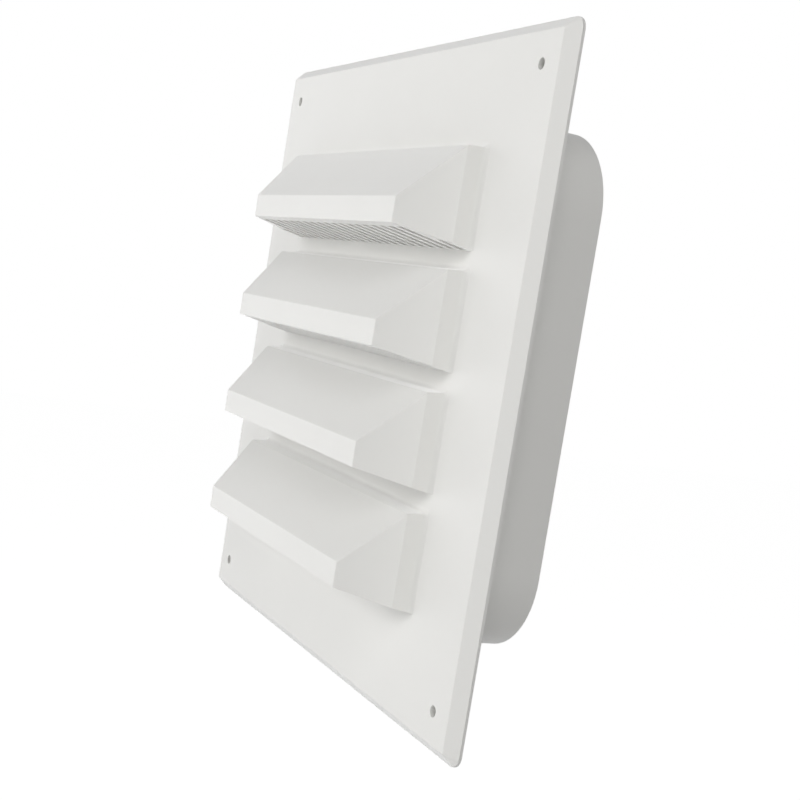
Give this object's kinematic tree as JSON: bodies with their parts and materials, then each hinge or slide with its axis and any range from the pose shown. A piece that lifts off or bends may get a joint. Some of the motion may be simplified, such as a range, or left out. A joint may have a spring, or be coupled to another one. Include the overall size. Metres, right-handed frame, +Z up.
{
  "type": "louvred vent grille",
  "caption": "Square white moulded wall vent with stacked hipped hoods, slotted undersides, a bevelled screw-on faceplate and a rounded rectangular duct collar behind.",
  "frame": {"origin": "centre of the screw hole pattern on the wall plane, which is the back of the faceplate's rim", "axes": "+Z up, -Y out of the wall through the hoods, +Y back into the duct along the collar, +X to the right of someone facing the vent"},
  "size_m": [0.305, 0.0837, 0.305],
  "materials": {
    "white_plastic": "satin"
  },
  "bodies": {
    "root": {"vent_grille": "white_plastic"}
  },
  "joints": []
}
